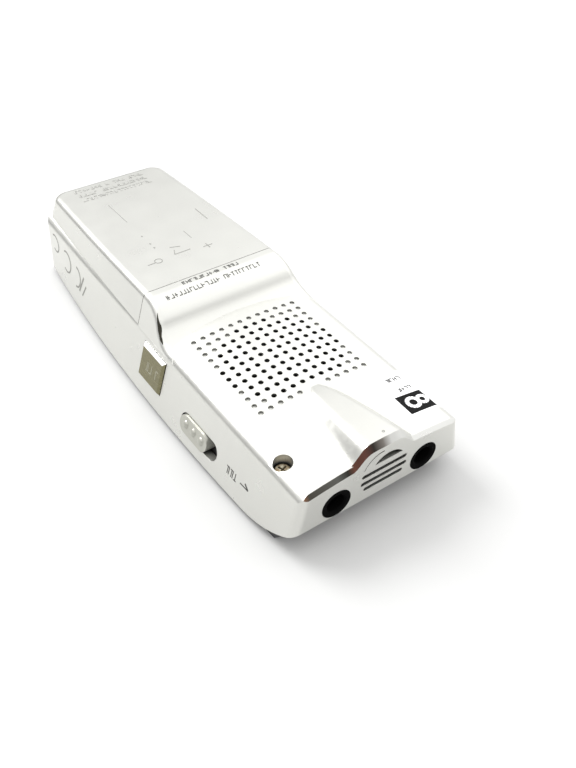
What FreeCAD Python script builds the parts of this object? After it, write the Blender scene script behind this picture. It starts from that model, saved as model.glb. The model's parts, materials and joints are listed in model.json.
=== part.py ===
import FreeCAD, Part
import math
import os
from FreeCAD import Vector

# Handheld voice recorder, lying on its front face, in millimetres.
# +Z is out of the back, -Y is the microphone and jack end, the origin is under the middle of the front face.

# ---- case ----------------------------------------------------------------------------------------
length = 101.4          # over the two end walls
back_z = 14.8           # crest of the slightly rounded back
crown_radius = 108.0    # the back is an arc across its width
wall = 1.5
part_line_z = 1.2       # where the rear case meets the front case along the sides
chin_line_z = 5.6       # where they meet at the microphone end
chin_start_y = -38.0    # the meeting line starts to rise here
shoulder_z = 11.3       # height at which the upper half widths hold
base_half = (19.0, 20.2, 16.5)       # half widths at the meeting line: microphone end, middle, battery end
shoulder_half = (17.1, 17.2, 16.3)   # the same at shoulder_z
mic_corner_radius = 1.6
battery_corner_radius = 4.0
long_edge_radius = 2.4
mic_edge_chamfer = 0.7

# ---- battery hump and its cover ------------------------------------------------------------------
hump_z = 19.5           # top of the hump at the cover's seam
hump_far_z = 18.0       # top of the hump at the battery end
seam_y = 3.4
ramp_top_y = 1.8
ramp_foot_y = -9.0
ramp_foot_z = 13.6
hump_floor_z = 12.6     # the hump's flanks meet the case above this height
hump_base_z = 14.2
hump_base_half = (16.4, 14.6)        # half widths at hump_base_z: at the ramp, at the battery end
hump_top_half = (14.9, 12.7)         # the same at hump_z
hump_edge_radius = 1.5
hump_corner_radius = 3.5
hump_end_gap = 0.1
hump_bow = 0.4          # its sides stand out by this much half way along
cover_wall = 1.2
cover_gap = 0.12
bay_half = 11.3
bay_y = (1.0, 47.4)
bay_floor_z = 4.6
rail_half = 12.4
rail_lip = 0.7
rail_y = (6.0, 33.0)

# ---- speaker grille ------------------------------------------------------------------------------
grille_pitch = 2.05
grille_y = -20.0
hole_radius = 0.5
dimple_depth = 0.35
grille_count = 12
# for each row from the battery end, the first and last columns (from 0) that are open holes, and others are dimples
open_columns = (None, (4, 7), (2, 9), (1, 10), (1, 10), (0, 11), (0, 11), (0, 11), (1, 10), (1, 10), (2, 9), None)
missing_holes = ((11, 5), (11, 6))

# ---- microphone hump -----------------------------------------------------------------------------
mic_hump_half = 7.0
mic_hump_rise = 3.1     # above the back at the end wall
mic_hump_tip_y = -31.0
mic_hump_bevel = 1.2    # drop of its end edge at the crest
slot_x = 0.25
slot_half_height = 0.42
mic_slots = ((11.4, 4.4), (9.7, 4.5), (8.2, 3.8))   # height and half length of each straight slot
lens_slot = ((-2.0, 13.0), (0.95, 14.5), (3.9, 13.0))          # left end, top and right end of the curved slot
groove_arc = ((-4.2, 13.0), (-2.65, 14.95), (-0.3, 15.6))      # a shallow groove that follows the swelling's edge
groove_width = 0.25
groove_depth = 0.2

# ---- jacks, key and slider -----------------------------------------------------------------------
jack_x = {"mic_jack": -9.6, "ear_jack": 9.2}
jack_z = 8.5
jack_ring_radius = 2.9
jack_ring_depth = 1.6
plug_radius = 1.8
plug_depth = 12.8
side_key_y = (-8.5, -0.4)
side_key_z = (4.8, 11.6)
side_key_proud = 0.65
slot_y = (-28.7, -16.5)
slot_z = (3.6, 7.4)
slider_length = 9.4
slider_proud = 0.5

# ---- case screws ---------------------------------------------------------------------------------
screw_x = 14.5
screw_y = -42.4
screw_well_radius = 1.7
screw_seat_z = 11.2
screw_tube_radius = 2.4

# ---- front ---------------------------------------------------------------------------------------
front_inset = 0.7       # the front case stands in from the rear case along the meeting line
front_taper = 0.9       # and tapers by this much more down to its face
front_skin = 1.2
chin_foot_y = -45.4
lcd_window_size = (30.0, 23.0)
lcd_y = -27.8
window_ledge = 1.2
key_depth = 0.15        # the keys stand this far inside the front face
key_top_z = 2.0
key_gap = 0.15
key_flange = 0.6
round_keys = {"key_record": (-9.5, -8.0, 3.7), "key_stop": (9.5, -8.0, 3.7), "key_play": (0.0, 12.0, 4.2)}
long_keys = {"key_plus": (0.0, 3.0, 9.0, 4.4), "key_minus": (0.0, 21.0, 9.0, 4.4),
             "key_rewind": (-9.6, 12.0, 4.4, 9.0), "key_forward": (9.6, 12.0, 4.4, 9.0),
             "key_folder": (-8.0, 32.0, 8.0, 4.0), "key_erase": (8.0, 32.0, 8.0, 4.0)}
lamp_xy = (0.0, -12.5)

# ---- inside --------------------------------------------------------------------------------------
board_z = (3.3, 4.3)
board_half = 14.2
mic_x = 0.8
mic_y = -48.2
mic_z = 9.7
speaker_radius = 11.5
cell_radius = 5.25
cell_length = 44.5
cell_x = 5.4
cell_z = 10.75

half_length = length / 2


def box(x, y, z):
    """A box from three (low, high) pairs."""
    return Part.makeBox(x[1] - x[0], y[1] - y[0], z[1] - z[0], Vector(x[0], y[0], z[0]))


def cylinder(radius, height, base, axis=Vector(0, 0, 1)):
    return Part.makeCylinder(radius, height, base, axis)


def grow(span, by):
    return (span[0] - by, span[1] + by)


def save(shape, node):
    """Writes one node after checking that every solid in it is sound."""
    assert shape.isValid() and shape.Volume > 0, node
    shape.exportStep("parts/" + node + ".step")


def along_x(points, half):
    """A prism across the object from an outline of (y, z) points."""
    corners = [Vector(-half, y, z) for y, z in points]
    face = Part.Face(Part.makePolygon(corners + corners[:1]))
    return face.extrude(Vector(2 * half, 0, 0))


def half_at(level, low, high, low_z, high_z):
    """Half width at a height, on the straight line between two heights."""
    return low + (high - low) * (level - low_z) / (high_z - low_z)


# ---- outer shapes --------------------------------------------------------------------------------

def case_outline(z, inset):
    """Plan outline at one height: bowed sides between two straight ends."""
    near, middle, far = [half_at(z, low, high, part_line_z, shoulder_z) - inset
                         for low, high in zip(base_half, shoulder_half)]
    end = half_length - inset
    left = Part.Arc(Vector(-near, -end, z), Vector(-middle, 0, z), Vector(-far, end, z)).toShape()
    right = Part.Arc(Vector(far, end, z), Vector(middle, 0, z), Vector(near, -end, z)).toShape()
    top = Part.makeLine(Vector(-far, end, z), Vector(far, end, z))
    bottom = Part.makeLine(Vector(near, -end, z), Vector(-near, -end, z))
    return Part.Wire([left, top, right, bottom])


def upright_edges(shape, at_far_end):
    """The two steep corner edges at one end."""
    return [edge for edge in shape.Edges
            if edge.BoundBox.ZLength > 4 and edge.BoundBox.YLength < 1 and edge.BoundBox.XLength < 6
            and (edge.CenterOfMass.y > 0) == at_far_end]


def sharp_block(inset, low_z, high_z):
    return Part.makeLoft([case_outline(low_z, inset), case_outline(high_z, inset)], True, True)


def case_block(inset, low_z, high_z):
    """The case's drafted block between two heights, with its corners rounded."""
    block = sharp_block(inset, low_z, high_z)
    block = block.makeFillet(max(mic_corner_radius - inset, 0.4), upright_edges(block, False))
    return block.makeFillet(max(battery_corner_radius - inset, 0.4), upright_edges(block, True))


def crown(inset):
    """Everything under the rounded back. The cylinder's seam is turned to its underside."""
    axis_z = back_z - crown_radius
    under_back = cylinder(crown_radius - inset, 2 * length, Vector(0, -length, axis_z), Vector(0, 1, 0))
    under_back.rotate(Vector(0, 0, axis_z), Vector(0, 1, 0), 180)
    return under_back


def plain_case(inset=0.0):
    """The outside of both cases without the humps."""
    block = sharp_block(inset, -1, 17).common(crown(inset))
    long_edges = [edge for edge in block.Edges
                  if edge.BoundBox.YLength > 0.7 * length and edge.CenterOfMass.z > shoulder_z
                  and abs(edge.CenterOfMass.x) > 5]
    rounded = block.makeFillet(long_edge_radius, long_edges)
    return rounded.common(case_block(inset, -1, 17))


def parting_prism(drop=0.0, half=30.0):
    """Everything under the line where the cases meet, which rises in an arc at the microphone end."""
    low_y, high_y = -half_length - 1, half_length + 1
    rise, run = chin_line_z - part_line_z, chin_start_y + half_length
    radius = (rise ** 2 + run ** 2) / (2 * rise)

    def on_arc(y):
        height = radius - math.sqrt(radius ** 2 - (y - chin_start_y) ** 2)
        return Vector(-half, y, part_line_z - drop + height)

    start, middle, end = on_arc(chin_start_y), on_arc((chin_start_y + low_y) / 2), on_arc(low_y)
    corners = [end, Vector(-half, low_y, -5), Vector(-half, high_y, -5),
               Vector(-half, high_y, part_line_z - drop), start]
    edges = [Part.makeLine(a, b) for a, b in zip(corners, corners[1:])]
    edges.append(Part.Arc(start, middle, end).toShape())
    return Part.Face(Part.Wire(edges)).extrude(Vector(2 * half, 0, 0))


def hump_outline(z, inset):
    """Plan outline of the hump at one height: bowed sides that close in towards the battery end."""
    ramp_half, far_half = [half_at(z, low, high, hump_base_z, hump_z) - inset
                           for low, high in zip(hump_base_half, hump_top_half)]
    start, end = ramp_foot_y - 3, half_length - hump_end_gap - inset
    widest, middle = (ramp_half + far_half) / 2 + hump_bow, (start + end) / 2
    left = Part.Arc(Vector(-ramp_half, start, z), Vector(-widest, middle, z), Vector(-far_half, end, z)).toShape()
    right = Part.Arc(Vector(far_half, end, z), Vector(widest, middle, z), Vector(ramp_half, start, z)).toShape()
    top = Part.makeLine(Vector(-far_half, end, z), Vector(far_half, end, z))
    bottom = Part.makeLine(Vector(ramp_half, start, z), Vector(-ramp_half, start, z))
    return Part.Wire([left, top, right, bottom])


def hump_profile(drop):
    """Side profile of the hump: an S ramp made of two arcs, then a top that falls towards the battery end."""
    rise, run = hump_z - ramp_foot_z, ramp_top_y - ramp_foot_y
    radius = (rise ** 2 + run ** 2) / (4 * rise)
    turn = math.atan2(rise, run)
    bulge = Vector(0, radius * math.sin(turn), radius * (1 - math.cos(turn)))
    foot = Vector(-30, ramp_foot_y + drop, ramp_foot_z - drop)
    top = Vector(-30, ramp_top_y + drop, hump_z - drop)
    middle = (foot + top) * 0.5
    end_y = half_length + 2
    fall = (hump_z - hump_far_z) * (end_y - ramp_top_y) / (half_length - ramp_top_y)
    floor_z = hump_floor_z - drop
    corners = [top, Vector(-30, end_y, hump_z - drop - fall), Vector(-30, end_y, floor_z),
               Vector(-30, foot.y - 1.5, floor_z), foot]
    edges = [Part.makeLine(a, b) for a, b in zip(corners, corners[1:])]
    edges.append(Part.Arc(foot, foot + bulge, middle).toShape())
    edges.append(Part.Arc(middle, top - bulge, top).toShape())
    return Part.Face(Part.Wire(edges)).extrude(Vector(60, 0, 0))


def hump(inset):
    """The battery hump, reaching down into the case, with its far corners and top edges rounded."""
    block = Part.makeLoft([hump_outline(10.0, inset), hump_outline(21.0, inset)], True, True)
    far_corners = [edge for edge in block.Edges
                   if edge.BoundBox.ZLength > 5 and edge.CenterOfMass.y > half_length - 6]
    block = block.makeFillet(max(hump_corner_radius - inset, 0.5), far_corners)
    block = block.common(hump_profile(inset))
    rim = [edge for edge in block.Edges
           if edge.BoundBox.ZMin > 14.5 and edge.CenterOfMass.z > hump_far_z - inset - 1
           and edge.CenterOfMass.y > 5
           and (abs(edge.CenterOfMass.x) > 9 or edge.CenterOfMass.y > half_length - 6)]
    block = block.makeFillet(max(hump_edge_radius - inset, 0.4), rim)
    return block.common(sharp_block(inset, -1, 24))


def mic_hump():
    """The swelling over the microphone: an ogive in plan whose flat-topped sections grow towards the end wall."""
    bevel_run = (mic_edge_chamfer + mic_hump_bevel) / 2
    run = half_length - bevel_run + mic_hump_tip_y
    sections = []
    for step in range(7):
        share = 0.02 + 0.98 * step / 6
        sections.append(mic_hump_section(mic_hump_tip_y - share * run, share, 0))
    end_edge = [sections[-1], mic_hump_section(-half_length, 1, 1)]
    return Part.makeLoft(sections, True, False).fuse(Part.makeLoft(end_edge, True, True))


def mic_hump_section(y, share, bevel_share):
    """One section of the swelling, lowered towards the bevel of its end edge."""
    width = mic_hump_half * share ** 0.5
    rise = mic_hump_rise * share ** 0.88
    base = back_z - width ** 2 / (2 * crown_radius)
    flank = [(-width, -0.25), (-0.84 * width, 0.15 * rise), (-0.66 * width, 0.62 * rise),
             (-0.49 * width, 0.93 * rise), (-0.29 * width, rise), (0, rise)]
    flank += [(-x, z) for x, z in reversed(flank[:-1])]
    points = []
    for x, z in flank:
        drop = mic_edge_chamfer + (mic_hump_bevel - mic_edge_chamfer) * z / rise
        points.append(Vector(x, y, base + z - bevel_share * drop))
    curve = Part.BSplineCurve()
    curve.interpolate(points)
    floor = [Vector(width, y, 12.0), Vector(-width, y, 12.0)]
    edges = [curve.toShape()]
    edges += [Part.makeLine(a, b) for a, b in zip([points[-1]] + floor, floor + [points[0]])]
    return Part.Wire(edges)


# ---- openings ------------------------------------------------------------------------------------

def stadium(centre, axis_half, radius, depth_axis):
    """A slot with round ends: centre of its near face, half of the straight part as a vector, and its depth."""
    side = axis_half.cross(depth_axis).normalize() * radius
    a, b = centre - axis_half, centre + axis_half
    out = Vector(axis_half).normalize() * radius
    edges = [Part.makeLine(a + side, b + side), Part.Arc(b + side, b + out, b - side).toShape(),
             Part.makeLine(b - side, a - side), Part.Arc(a - side, a - out, a + side).toShape()]
    return Part.Face(Part.Wire(edges)).extrude(depth_axis)


def grille_tools():
    """Cutters for the open holes and for the blind dimples of the speaker grille."""
    holes, dimples = [], []
    middle = (grille_count - 1) / 2
    for row in range(grille_count):
        for column in range(grille_count):
            if (row, column) in missing_holes:
                continue
            x = (column - middle) * grille_pitch
            y = grille_y + (middle - row) * grille_pitch
            surface_z = back_z - x ** 2 / (2 * crown_radius)
            open_range = open_columns[row]
            if open_range and open_range[0] <= column <= open_range[1]:
                holes.append(cylinder(hole_radius, 4, Vector(x, y, surface_z - 3)))
            else:
                dimples.append(cylinder(hole_radius, 2, Vector(x, y, surface_z - dimple_depth)))
    return Part.makeCompound(holes), Part.makeCompound(dimples)


def mic_slot_tools():
    """Cutters for the straight slots and the curved one above them in the end wall."""
    depth = Vector(0, wall + 1.5, 0)
    y = -half_length - 1
    tools = [stadium(Vector(slot_x, y, z), Vector(half, 0, 0), slot_half_height, depth)
             for z, half in mic_slots]
    left, top, right = [Vector(x, y, z) for x, z in lens_slot]
    lens = Part.Wire([Part.Arc(left, top, right).toShape(), Part.makeLine(right, left)])
    tools.append(Part.Face(lens).extrude(depth))
    upper = [Vector(x, y, z) for x, z in groove_arc]
    lower = [point - Vector(0, 0, groove_width) for point in upper]
    band = Part.Wire([Part.Arc(*upper).toShape(), Part.makeLine(upper[2], lower[2]),
                      Part.Arc(*reversed(lower)).toShape(), Part.makeLine(lower[0], upper[0])])
    tools.append(Part.Face(band).extrude(Vector(0, 1 + groove_depth, 0)))
    return Part.makeCompound(tools)


def side_x(z):
    """Distance of the side wall's outer face from the middle, near the side key and slider."""
    return half_at(z, base_half[1], shoulder_half[1], part_line_z, shoulder_z)


def side_prism(y, z, proud, inner_x):
    """A block through the left side wall whose outer face is parallel to the wall and stands proud of it."""
    outline = [(-side_x(z[0]) - proud, z[0]), (-side_x(z[1]) - proud, z[1]), (inner_x, z[1]), (inner_x, z[0])]
    corners = [Vector(x, y[0], height) for x, height in outline]
    return Part.Face(Part.makePolygon(corners + corners[:1])).extrude(Vector(0, y[1] - y[0], 0))


def hold_slot_tool():
    radius = (slot_z[1] - slot_z[0]) / 2
    centre = Vector(-30, (slot_y[0] + slot_y[1]) / 2, (slot_z[0] + slot_z[1]) / 2)
    return stadium(centre, Vector(0, (slot_y[1] - slot_y[0]) / 2 - radius, 0), radius, Vector(16, 0, 0))


# ---- shells --------------------------------------------------------------------------------------

def end_bevel_tool():
    """A wedge turned about the crown's axis, which bevels the back's edge over the end wall."""
    end, width = -half_length, mic_edge_chamfer
    corners = [Vector(0, end - 1, back_z - width - 1), Vector(0, end + width + 1, back_z + 1),
               Vector(0, end - 1, back_z + 1)]
    face = Part.Face(Part.makePolygon(corners + corners[:1]))
    face.rotate(Vector(0, 0, back_z - crown_radius), Vector(0, 1, 0), -10)
    return face.revolve(Vector(0, 0, back_z - crown_radius), Vector(0, 1, 0), 20)


def outer_shell():
    """The outside of the case and of the swelling over the microphone."""
    case = plain_case().cut(end_bevel_tool())
    return case, mic_hump().common(box((-30, 30), (-half_length, half_length), (-5, 30)))


def screw_places():
    return [(side * screw_x, screw_y) for side in (-1, 1)]


def rear_case():
    case, swelling = outer_shell()
    beyond_seam = box((-30, 30), (seam_y, 2 * length), (-10, 40))
    near_hump = hump(0).cut(beyond_seam)
    body = case.fuse(swelling).fuse(near_hump).removeSplitter()
    inside = case_block(wall, -1, 17).common(crown(wall))
    body = body.cut(inside)
    body = body.cut(hump(wall).cut(box((-30, 30), (seam_y, 2 * length), (8, 40))))
    # battery bay: a tray hung inside, open to the back under the cover
    tray = box(grow((-bay_half, bay_half), 1.2), grow(bay_y, 0.9), (bay_floor_z, back_z))
    tray = tray.common(case_block(0.5, -1, 17)).common(crown(0.5))
    body = body.fuse(tray)
    body = body.cut(box((-bay_half, bay_half), bay_y, (bay_floor_z + 0.8, 17.9)))
    # rails for the cover
    for side in (-1, 1):
        web = box(sorted((side * (rail_half - 0.8), side * rail_half)), rail_y, (13.0, 15.7))
        lip = box(sorted((side * (rail_half - 0.8), side * (rail_half + rail_lip))), rail_y, (15.1, 15.7))
        body = body.fuse(web).fuse(lip)
    for x, y in screw_places():
        body = body.fuse(cylinder(screw_tube_radius, back_z - 6.0, Vector(x, y, 5.0)).common(crown(0.4))
                         .common(case_block(0.4, -1, 17)))
        body = body.cut(cylinder(screw_well_radius, 10, Vector(x, y, screw_seat_z)))
        body = body.cut(cylinder(1.05, 20, Vector(x, y, 0)))
    holes, dimples = grille_tools()
    body = body.cut(holes).cut(dimples).cut(mic_slot_tools())
    for x in jack_x.values():
        body = body.cut(cylinder(jack_ring_radius + 0.05, 4, Vector(x, -half_length - 1, jack_z), Vector(0, 1, 0)))
    body = body.cut(side_prism(grow(side_key_y, 0.15), grow(side_key_z, 0.15), 5, -14.0))
    body = body.cut(hold_slot_tool())
    return body.cut(parting_prism())


def battery_cover():
    shell = hump(0).cut(hump(cover_wall))
    ribs = []
    for side in (-1, 1):
        ribs.append(box(sorted((side * (rail_half + 0.25), side * 16.5)), (seam_y + 1, rail_y[1]), (14.25, 14.9)))
    for rib in ribs:
        shell = shell.fuse(rib.common(hump(0.3)))
    shell = shell.common(box((-30, 30), (seam_y + cover_gap, 2 * length), (8, 40)))
    return shell.cut(plain_case(-cover_gap))


def front_block(inset):
    """The front case's outside: it tapers down to the face and is cut back under the microphone end."""
    narrow = case_outline(-1, front_inset + front_taper + inset)
    wide = case_outline(6, front_inset + inset)
    block = Part.makeLoft([narrow, wide], True, True)
    reach = half_length + 2
    foot, nose = chin_foot_y, -half_length + front_inset
    profile = [(nose - 1, chin_line_z + 1), (nose, chin_line_z), (foot, 0), (reach, 0), (reach, 8), (nose - 1, 8)]
    lifted = [(y + (0.5 * inset if y < 0 else 0), z + (inset if z == 0 else 0)) for y, z in profile]
    return block.common(along_x(lifted, 30))


def front_keys():
    """Cap outlines on the front face: node name to a function that makes the prism grown by some amount."""
    keys = {}
    for name, (x, y, radius) in round_keys.items():
        keys[name] = lambda by, z0, z1, x=x, y=y, r=radius: cylinder(r + by, z1 - z0, Vector(x, y, z0))
    for name, (x, y, width, height) in long_keys.items():
        keys[name] = lambda by, z0, z1, x=x, y=y, w=width, h=height: long_key(x, y, w, h, by, z0, z1)
    return keys


def long_key(x, y, width, height, by, z0, z1):
    """An obround prism along X or Y, grown by some amount."""
    radius = min(width, height) / 2
    straight = Vector(max(width - height, 0) / 2, max(height - width, 0) / 2, 0)
    return stadium(Vector(x, y, z0), straight, radius + by, Vector(0, 0, z1 - z0))


def front_case():
    body = front_block(0).common(parting_prism(0.02)).cut(front_block(front_skin))
    width, height = lcd_window_size
    window = box((-width / 2, width / 2), (lcd_y - height / 2, lcd_y + height / 2), (-1, 0.9))
    body = body.cut(window)
    half_w, half_h = width / 2 - window_ledge, height / 2 - window_ledge
    body = body.cut(box((-half_w, half_w), (lcd_y - half_h, lcd_y + half_h), (-1, 3)))
    for make in front_keys().values():
        body = body.cut(make(key_gap, -1, 3))
    body = body.cut(cylinder(0.85, 4, Vector(lamp_xy[0], lamp_xy[1], -1)))
    for x, y in screw_places():
        body = body.fuse(cylinder(2.3, 3.9, Vector(x, y, front_skin - 0.1)).common(front_block(0.1)))
        body = body.cut(cylinder(0.7, 3.4, Vector(x, y, front_skin + 0.5)))
    return body


# ---- front: window, keys, lamp -------------------------------------------------------------------

def lcd_window():
    width, height = lcd_window_size
    x, y = width / 2 - 0.08, height / 2 - 0.08
    pane = box((-x, x), (lcd_y - y, lcd_y + y), (0.05, 0.85))
    return pane.makeFillet(0.2, [edge for edge in pane.Edges if edge.BoundBox.ZMax < 0.1])


def lcd_module():
    x, y = lcd_window_size[0] / 2 - 0.3, lcd_window_size[1] / 2 - 0.3
    return box((-x, x), (lcd_y - y, lcd_y + y), (1.3, 2.5))


def lcd_light_guide():
    x, y = lcd_window_size[0] / 2 - 0.3, lcd_window_size[1] / 2 - 0.3
    return box((-x, x), (lcd_y - y, lcd_y + y), (2.55, 3.2))


def front_key(make):
    """A cap with a flange behind the front case that keeps it in."""
    cap = make(0, key_depth, key_top_z)
    rim = [edge for edge in cap.Edges if edge.BoundBox.ZMax < key_depth + 0.01]
    cap = cap.makeFillet(0.3, rim)
    return cap.fuse(make(key_flange, front_skin + 0.1, key_top_z - 0.1)).removeSplitter()


def record_lamp():
    """A light pipe from the board to the front face."""
    x, y = lamp_xy
    pipe = cylinder(0.8, board_z[0] - 0.15, Vector(x, y, 0.1))
    return pipe.fuse(cylinder(1.4, 0.6, Vector(x, y, board_z[0] - 0.65)))


def key_places():
    """Centre of every front key."""
    places = {name: (x, y) for name, (x, y, radius) in round_keys.items()}
    places.update({name: (x, y) for name, (x, y, width, height) in long_keys.items()})
    return places


def keypad_mat():
    """A rubber sheet with a foot over each dome."""
    sheet = box((-board_half + 0.5, board_half - 0.5), (-14.5, 36.5), (2.45, 2.8))
    x, y = lamp_xy
    sheet = sheet.cut(cylinder(1.7, 2, Vector(x, y, 2)))
    for x, y in key_places().values():
        sheet = sheet.fuse(cylinder(1.0, 0.2, Vector(x, y, 2.75)))
    return sheet


def key_domes():
    """Snap domes on the front of the board, one under each key."""
    return Part.makeCompound([cylinder(2.3, 0.25, Vector(x, y, board_z[0] - 0.27))
                              for x, y in key_places().values()])


# ---- board and what stands on it -----------------------------------------------------------------

def main_board():
    board = box((-board_half, board_half), (-46.9, 47.5), board_z)
    for x, y in screw_places():
        board = board.cut(cylinder(screw_tube_radius + 0.3, 4, Vector(x, y, 2)))
    return board.common(case_block(wall + 0.2, -1, 17))


def on_board(x, y, height):
    """A box standing on the back side of the board."""
    return box(x, y, (board_z[1] + 0.02, board_z[1] + 0.02 + height))


def processor_chip():
    return on_board((-5, 5), (-30, -20), 1.1)


def memory_chip():
    return on_board((6.5, 13), (-33, -23), 0.9)


def crystal_can():
    can = on_board((-9.5, -7.5), (-33, -27), 1.4)
    return can.makeFillet(0.5, [edge for edge in can.Edges if edge.BoundBox.ZLength > 1])


# ---- jacks and microphone ------------------------------------------------------------------------

along_y = Vector(0, 1, 0)


def jack_body(x):
    """A 3.5 mm jack socket: a block with a plug bore that opens towards the end wall."""
    front = -half_length + jack_ring_depth + 0.25
    body = box((x - 2.4, x + 2.4), (front, -35.4), (board_z[1] + 0.02, jack_z + 3.0))
    body = body.makeFillet(0.6, [edge for edge in body.Edges if edge.BoundBox.YLength > 5
                                 and edge.CenterOfMass.z > jack_z])
    return body.cut(cylinder(plug_radius, plug_depth, Vector(x, -half_length + 0.3, jack_z), along_y))


def jack_ring(x):
    """The black collar round a jack's mouth, flush with the end wall."""
    end = -half_length
    ring = cylinder(jack_ring_radius - 0.03, jack_ring_depth, Vector(x, end, jack_z), along_y)
    ring = ring.cut(cylinder(plug_radius, 5, Vector(x, end - 1, jack_z), along_y))
    mouth = [edge for edge in ring.Edges
             if edge.CenterOfMass.y < end + 0.01 and edge.BoundBox.ZLength < 2 * plug_radius + 0.2]
    ring = ring.makeChamfer(0.3, mouth)
    return ring.cut(parting_prism(-0.02))


def mic_capsule():
    y = mic_y + 0.2
    can = cylinder(2.9, 2.5, Vector(mic_x, y, mic_z), along_y)
    can = can.makeFillet(0.3, can.Edges)
    return can.cut(cylinder(0.6, 0.3, Vector(mic_x, y - 0.1, mic_z), along_y))


def mic_boot():
    """The rubber cup that holds the capsule behind its slots."""
    cup = cylinder(3.5, 3.6, Vector(mic_x, mic_y, mic_z), along_y)
    bore = cylinder(2.95, 2.95, Vector(mic_x, mic_y - 0.1, mic_z), along_y)
    return cup.cut(bore).cut(cylinder(0.9, 9, Vector(mic_x, mic_y, mic_z), along_y))


def mic_mesh():
    """A dust cloth between the end wall's slots and the microphone."""
    return box((mic_x - 4.8, mic_x + 4.8), (-half_length + wall + 0.05, -half_length + wall + 0.3), (6.2, 13.0))


# ---- speaker -------------------------------------------------------------------------------------

def ring(outer, inner, z):
    whole = cylinder(outer, z[1] - z[0], Vector(0, grille_y, z[0]))
    return whole.cut(cylinder(inner, 9, Vector(0, grille_y, z[0] - 1)))


def turned(points):
    """A solid turned about the speaker's axis from (radius, z) points."""
    corners = [Vector(r, grille_y, z) for r, z in points]
    face = Part.Face(Part.makePolygon(corners + corners[:1]))
    return face.revolve(Vector(0, grille_y, 0), Vector(0, 0, 1), 360)


def speaker_frame():
    return turned([(speaker_radius, 11.6), (speaker_radius, 10.6), (9.6, 10.2), (7.6, 8.4), (7.0, 8.4),
                   (7.0, 9.0), (9.2, 11.0), (9.9, 11.0), (9.9, 11.6)])


def speaker_cone():
    return turned([(9.8, 11.5), (9.8, 11.3), (8.4, 11.1), (4.2, 9.9), (4.2, 9.4), (3.8, 9.4), (3.8, 10.2),
                   (0, 10.9), (0, 11.1), (3.9, 10.4), (8.3, 11.4)])


def speaker_magnet():
    return turned([(6.9, 8.9), (6.9, 5.9), (0, 5.9), (0, 9.2), (3.5, 9.2), (3.5, 7.0), (4.5, 7.0), (4.5, 8.9)])


def speaker_gasket():
    return ring(speaker_radius, 10.0, (11.65, 12.5))


def speaker_felt():
    """Black dust felt against the inside of the grille."""
    disc = cylinder(speaker_radius, 2, Vector(0, grille_y, 12.55))
    return disc.common(crown(wall + 0.05))


def speaker_contacts():
    """Two leaf springs that carry the sound signal up from the board."""
    leaves = []
    for x in (-4.0, 4.0):
        y = grille_y + 8.1
        foot = on_board((x - 0.8, x + 0.8), (y, y + 2.5), 0.2)
        leg = box((x - 0.8, x + 0.8), (y + 2.3, y + 2.5), (board_z[1] + 0.1, 9.2))
        tip = box((x - 0.8, x + 0.8), (y + 1.2, y + 2.5), (9.1, 9.3))
        leaves.append(foot.fuse(leg).fuse(tip))
    return Part.makeCompound(leaves)


# ---- side key and hold slider --------------------------------------------------------------------

def side_key():
    """A plate with a bevelled rim, standing proud of the side wall, with a retaining flange inside."""
    plate = side_prism(side_key_y, side_key_z, side_key_proud, -15.0)
    rim = [edge for edge in plate.Edges if edge.CenterOfMass.x < -side_x(edge.CenterOfMass.z)]
    plate = plate.makeChamfer(0.45, rim)
    flange = side_prism(grow(side_key_y, 0.7), grow(side_key_z, 0.4), -wall - 0.15, -15.0)
    outer_limit = side_prism(grow(side_key_y, 2), (0, 20), -wall - 0.15, 5.0)
    return plate.fuse(flange.common(outer_limit)).removeSplitter()


def side_key_switch():
    y = sum(side_key_y) / 2
    body = on_board((-13.6, -10.0), (y - 2.2, y + 2.2), 4.4)
    return body.fuse(cylinder(1.1, 0.7, Vector(-14.25, y, board_z[1] + 2.4), Vector(1, 0, 0)))


def hold_slider():
    """A round-ended knob with three bumps for the thumb, parked at the battery end of its slot."""
    radius = (slot_z[1] - slot_z[0]) / 2
    high_y = slot_y[1] - 0.15
    centre = Vector(-30, high_y - slider_length / 2, (slot_z[0] + slot_z[1]) / 2)
    rod = stadium(centre, Vector(0, slider_length / 2 - radius, 0), radius - 0.15, Vector(14, 0, 0))
    reach = (high_y - slider_length - 1, high_y + 1)
    knob = rod.common(side_prism(reach, (0, 12), slider_proud, -17.0))
    z = centre.z
    for step in (-1, 0, 1):
        place = Vector(-side_x(z) - slider_proud + 0.55, centre.y + 2.6 * step, z)
        knob = knob.fuse(Part.makeSphere(1.0, place))
    return knob.cut(hold_carrier())


def hold_carrier():
    """The dark plate behind the slot that the knob is clipped to."""
    high_y = slot_y[1] + 0.6
    reach = (high_y - slider_length - 5.2, high_y)
    z = (slot_z[0] - 0.4, slot_z[1] + 0.9)
    plate = side_prism(reach, z, -wall - 0.3, -5.0).common(box((-30, 0), grow(reach, 1), (0, 20)))
    inner = side_prism(grow(reach, 1), (0, 20), -wall - 1.0, -4.0)
    return plate.cut(inner)


def hold_switch():
    y = slot_y[1] - slider_length / 2
    return on_board((-14.0, -11.0), (y - 4.5, y + 2.5), 2.6)


# ---- battery bay ---------------------------------------------------------------------------------

def cells():
    """Two AAA cells, one each way round: name to (side, low end, direction of the nub)."""
    return {"cell_a": (1, bay_y[0] + 0.45, -1), "cell_b": (-1, bay_y[0] + 1.45, 1)}


def cell(side, y, nub):
    """A can with a narrower positive nub at one end."""
    can_length = cell_length - 0.9
    start = y if nub > 0 else y + 0.9
    can = cylinder(cell_radius, can_length, Vector(side * cell_x, start, cell_z), along_y)
    can = can.makeFillet(0.6, can.Edges[:1] + can.Edges[-1:])
    tip_y = start + can_length - 0.1 if nub > 0 else y
    return can.fuse(cylinder(1.8, 1.0, Vector(side * cell_x, tip_y, cell_z), along_y))


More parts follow.
